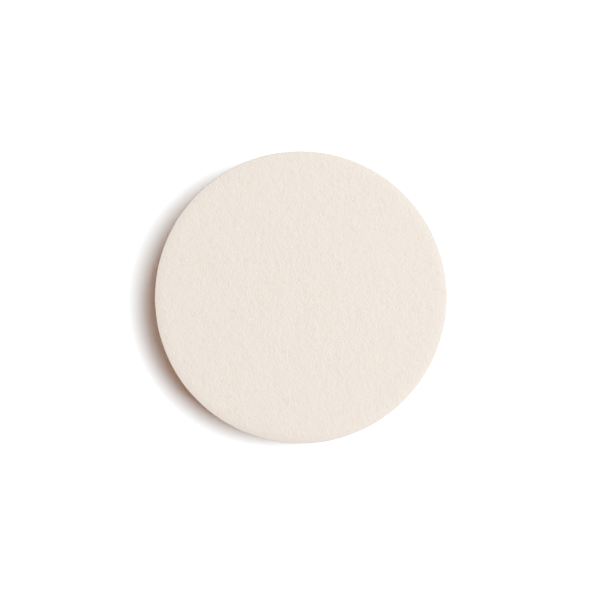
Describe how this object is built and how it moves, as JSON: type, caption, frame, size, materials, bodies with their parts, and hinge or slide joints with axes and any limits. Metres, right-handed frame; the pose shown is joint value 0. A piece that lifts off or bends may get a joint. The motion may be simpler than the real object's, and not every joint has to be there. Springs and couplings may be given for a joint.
{
  "type": "makeup sponge",
  "caption": "Round flat makeup sponge: a soft foam disc with a thin suede-like facing on each face, a crisp cut edge and a slightly drawn-in side.",
  "frame": {"origin": "middle of the lower face, which the sponge rests on", "axes": "+Z through the thickness, out of the upper face; X and Y lie across the disc, which is the same all round"},
  "size_m": [0.06, 0.06, 0.008],
  "materials": {
    "facing": "matte",
    "foam": "matte",
    "bond": "satin"
  },
  "bodies": {
    "lower_layers": {"lower_facing": "facing", "lower_bond_film": "bond", "foam_core": "foam"},
    "upper_layers": {"upper_bond_film": "bond", "upper_facing": "facing"}
  },
  "joints": [
    {"name": "press", "type": "slide", "parent": "lower_layers", "child": "upper_layers", "axis": [0, 0, -1], "range_m": [0, 0.0036], "stiffness_N_per_m": 2000, "deforming": ["foam_core"]}
  ]
}
